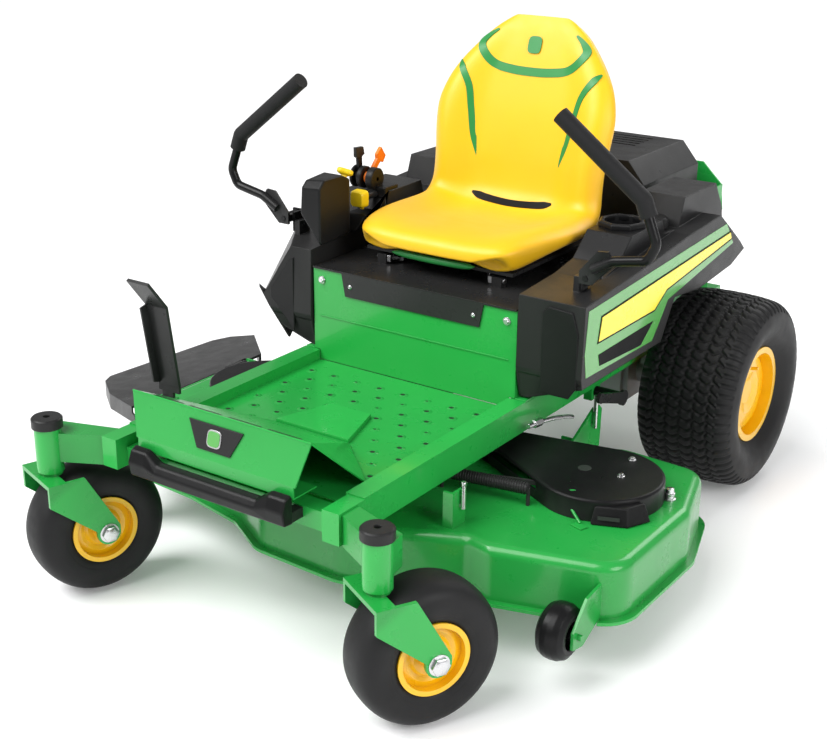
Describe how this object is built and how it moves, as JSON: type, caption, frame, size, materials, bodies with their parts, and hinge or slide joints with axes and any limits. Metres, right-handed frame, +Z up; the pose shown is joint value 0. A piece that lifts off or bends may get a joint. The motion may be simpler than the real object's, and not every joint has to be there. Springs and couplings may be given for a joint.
{
  "type": "riding lawn mower",
  "caption": "Zero-turn riding lawn mower with bucket seat, twin lap-bar levers, caster front wheels, mid-mounted cutting deck and rear engine",
  "frame": {"origin": "middle of the bounding box's underside, on the ground", "axes": "+X to the machine's left, +Y to the rear, +Z up"},
  "size_m": [1.618, 1.7666, 1.08],
  "materials": {
    "green_paint": "gloss",
    "black_paint": "satin",
    "yellow_paint": "gloss",
    "black_plastic": "satin",
    "seat_vinyl": "satin",
    "tyre": "matte",
    "bright_steel": "satin",
    "cast_metal": "satin",
    "belt_rubber": "matte",
    "grip_foam": "matte",
    "yellow_plastic": "gloss",
    "orange_plastic": "gloss",
    "tank_plastic": "satin"
  },
  "bodies": {
    "chassis": {"frame_rail_left": "green_paint", "frame_rail_right": "green_paint", "cross_members": "green_paint", "caster_arm_left": "green_paint", "caster_arm_right": "green_paint", "trim_caps": "black_plastic", "rear_guard": "green_paint", "floor_pan": "green_paint", "nose_cover": "green_paint", "front_step": "black_plastic", "seat_tower": "green_paint", "seat_deck": "black_paint", "fender_left": "black_plastic", "fender_right": "black_plastic", "control_console": "black_plastic", "engine_cover": "black_plastic", "engine": "black_paint", "transaxles": "cast_metal", "drive_belt": "belt_rubber", "fuel_tank": "tank_plastic", "battery": "black_plastic"},
    "crank": {"crank_pulley": "bright_steel"},
    "rear_wheel_left": {"rear_rim_left": "yellow_paint", "rear_tyre_left": "tyre"},
    "rear_wheel_right": {"rear_rim_right": "yellow_paint", "rear_tyre_right": "tyre"},
    "caster_left": {"caster_fork_left": "green_paint"},
    "caster_right": {"caster_fork_right": "green_paint"},
    "front_wheel_left": {"front_rim_left": "yellow_paint", "front_tyre_left": "tyre"},
    "front_wheel_right": {"front_rim_right": "yellow_paint", "front_tyre_right": "tyre"},
    "lever_base_left_body": {"lever_base_left": "black_paint"},
    "lever_base_right_body": {"lever_base_right": "black_paint"},
    "lever_arm_left": {"lever_left": "black_paint", "grip_left": "grip_foam"},
    "lever_arm_right": {"lever_right": "black_paint", "grip_right": "grip_foam"},
    "seat_frame": {"seat_hinge_frame": "bright_steel"},
    "seat_slide_body": {"seat_plate": "black_paint", "seat": "seat_vinyl"},
    "deck": {"deck_shell": "green_paint", "spindle_housings": "cast_metal", "blade_belt_drive": "belt_rubber", "belt_covers": "black_plastic", "lift_links": "bright_steel"},
    "idler": {"idler_pulley": "bright_steel"},
    "blade_left": {"blade_spindle_left": "bright_steel"},
    "blade_centre": {"blade_spindle_centre": "bright_steel"},
    "blade_right": {"blade_spindle_right": "bright_steel"},
    "scalp_left": {"scalp_wheel_left": "black_plastic"},
    "scalp_right": {"scalp_wheel_right": "black_plastic"},
    "chute": {"discharge_chute": "black_plastic"},
    "lift_cross_shaft": {"lift_shaft": "black_paint"},
    "pedal": {"lift_pedal": "black_paint"},
    "throttle": {"throttle_lever": "orange_plastic"},
    "choke": {"choke_lever": "black_plastic"},
    "clutch_knob": {"blade_clutch_knob": "yellow_plastic"},
    "dial": {"height_dial": "yellow_plastic"},
    "cap": {"fuel_cap": "black_plastic"}
  },
  "joints": [
    {"name": "rear_wheel_left_spin", "type": "hinge", "parent": "chassis", "child": "rear_wheel_left", "pos_m": [0.568, 0.50933, 0.2286], "axis": [1, 0, 0], "continuous": true},
    {"name": "caster_left_swivel", "type": "hinge", "parent": "chassis", "child": "caster_left", "pos_m": [0.529, -0.81866, 0.3], "axis": [0, 0, 1], "continuous": true},
    {"name": "front_wheel_left_spin", "type": "hinge", "parent": "caster_left", "child": "front_wheel_left", "pos_m": [0.56869, -0.74464, 0.1397], "axis": [0.8813, -0.4726, 0], "continuous": true},
    {"name": "lever_left_drive", "type": "hinge", "parent": "chassis", "child": "lever_base_left_body", "pos_m": [0.488, -0.06967, 0.622], "axis": [1, 0, 0], "range_deg": [-15, 20], "stiffness_Nm_per_rad": 12},
    {"name": "lever_left_swing", "type": "hinge", "parent": "lever_base_left_body", "child": "lever_arm_left", "pos_m": [0.515, -0.06967, 0.64], "axis": [0, -1, 0], "range_deg": [0, 28]},
    {"name": "scalp_left_spin", "type": "hinge", "parent": "deck", "child": "scalp_left", "pos_m": [0.722, -0.52667, 0.118], "axis": [1, 0, 0], "continuous": true},
    {"name": "rear_wheel_right_spin", "type": "hinge", "parent": "chassis", "child": "rear_wheel_right", "pos_m": [-0.314, 0.50933, 0.2286], "axis": [1, 0, 0], "continuous": true},
    {"name": "caster_right_swivel", "type": "hinge", "parent": "chassis", "child": "caster_right", "pos_m": [-0.275, -0.81866, 0.3], "axis": [0, 0, 1], "continuous": true},
    {"name": "front_wheel_right_spin", "type": "hinge", "parent": "caster_right", "child": "front_wheel_right", "pos_m": [-0.24807, -0.7391, 0.1397], "axis": [0.9472, -0.3206, 0], "continuous": true},
    {"name": "lever_right_drive", "type": "hinge", "parent": "chassis", "child": "lever_base_right_body", "pos_m": [-0.234, -0.06967, 0.622], "axis": [1, 0, 0], "range_deg": [-15, 20], "stiffness_Nm_per_rad": 12},
    {"name": "lever_right_swing", "type": "hinge", "parent": "lever_base_right_body", "child": "lever_arm_right", "pos_m": [-0.261, -0.06967, 0.64], "axis": [0, 1, 0], "range_deg": [0, 28]},
    {"name": "scalp_right_spin", "type": "hinge", "parent": "deck", "child": "scalp_right", "pos_m": [-0.413, -0.51267, 0.118], "axis": [1, 0, 0], "continuous": true},
    {"name": "seat_tilt", "type": "hinge", "parent": "chassis", "child": "seat_frame", "pos_m": [0.127, -0.04066, 0.577], "axis": [1, 0, 0], "range_deg": [0, 50]},
    {"name": "seat_slide", "type": "slide", "parent": "seat_frame", "child": "seat_slide_body", "axis": [0, 1, 0], "range_m": [-0.05, 0.06]},
    {"name": "deck_lift", "type": "slide", "parent": "chassis", "child": "deck", "axis": [0, 0, 1], "range_m": [-0.055, 0]},
    {"name": "lift_pedal_turn", "type": "hinge", "parent": "chassis", "child": "pedal", "pos_m": [-0.143, -0.61867, 0.388], "axis": [1, 0, 0], "range_deg": [-22, 0]},
    {"name": "lift_shaft_turn", "type": "hinge", "parent": "chassis", "child": "lift_cross_shaft", "pos_m": [0.127, 0.17933, 0.284], "axis": [1, 0, 0], "range_deg": [0, 28]},
    {"name": "blade_left_spin", "type": "hinge", "parent": "deck", "child": "blade_left", "pos_m": [0.577, -0.18066, 0.24], "axis": [0, 0, 1], "continuous": true},
    {"name": "blade_centre_spin", "type": "hinge", "parent": "deck", "child": "blade_centre", "pos_m": [0.175, -0.31067, 0.24], "axis": [0, 0, 1], "continuous": true},
    {"name": "blade_right_spin", "type": "hinge", "parent": "deck", "child": "blade_right", "pos_m": [-0.227, -0.18066, 0.24], "axis": [0, 0, 1], "continuous": true},
    {"name": "idler_spin", "type": "hinge", "parent": "deck", "child": "idler", "pos_m": [0.345, -0.15166, 0.256], "axis": [0, 0, 1], "continuous": true},
    {"name": "chute_lift", "type": "hinge", "parent": "deck", "child": "chute", "pos_m": [-0.485, -0.15566, 0.206], "axis": [0, 1, 0], "range_deg": [0, 75], "stiffness_Nm_per_rad": 0.5, "springref_deg": -34.38},
    {"name": "throttle_turn", "type": "hinge", "parent": "chassis", "child": "throttle", "pos_m": [-0.179, 0.11134, 0.706], "axis": [1, 0, 0], "range_deg": [0, 50]},
    {"name": "choke_turn", "type": "hinge", "parent": "chassis", "child": "choke", "pos_m": [-0.205, 0.11134, 0.706], "axis": [1, 0, 0], "range_deg": [-30, 20]},
    {"name": "clutch_knob_pull", "type": "slide", "parent": "chassis", "child": "clutch_knob", "axis": [0, 0.4848, 0.8746], "range_m": [0, 0.012], "stiffness_N_per_m": 400},
    {"name": "height_dial_turn", "type": "hinge", "parent": "chassis", "child": "dial", "pos_m": [-0.157, 0.06334, 0.672], "axis": [0, 1, 0], "range_deg": [-45, 45]},
    {"name": "fuel_cap_off", "type": "slide", "parent": "chassis", "child": "cap", "axis": [0, 0, 1], "range_m": [0, 0.05]},
    {"name": "crank_spin", "type": "hinge", "parent": "chassis", "child": "crank", "pos_m": [0.127, 0.59933, 0.24], "axis": [0, 0, 1], "continuous": true}
  ],
  "couplings": [
    {"joint": "lift_pedal_turn", "follows": "deck_lift", "rad_per_m": 6.98},
    {"joint": "lift_shaft_turn", "follows": "deck_lift", "rad_per_m": -8.885},
    {"joint": "blade_left_spin", "follows": "blade_centre_spin", "ratio": 1},
    {"joint": "blade_right_spin", "follows": "blade_centre_spin", "ratio": 1},
    {"joint": "idler_spin", "follows": "blade_centre_spin", "ratio": -1.911}
  ]
}
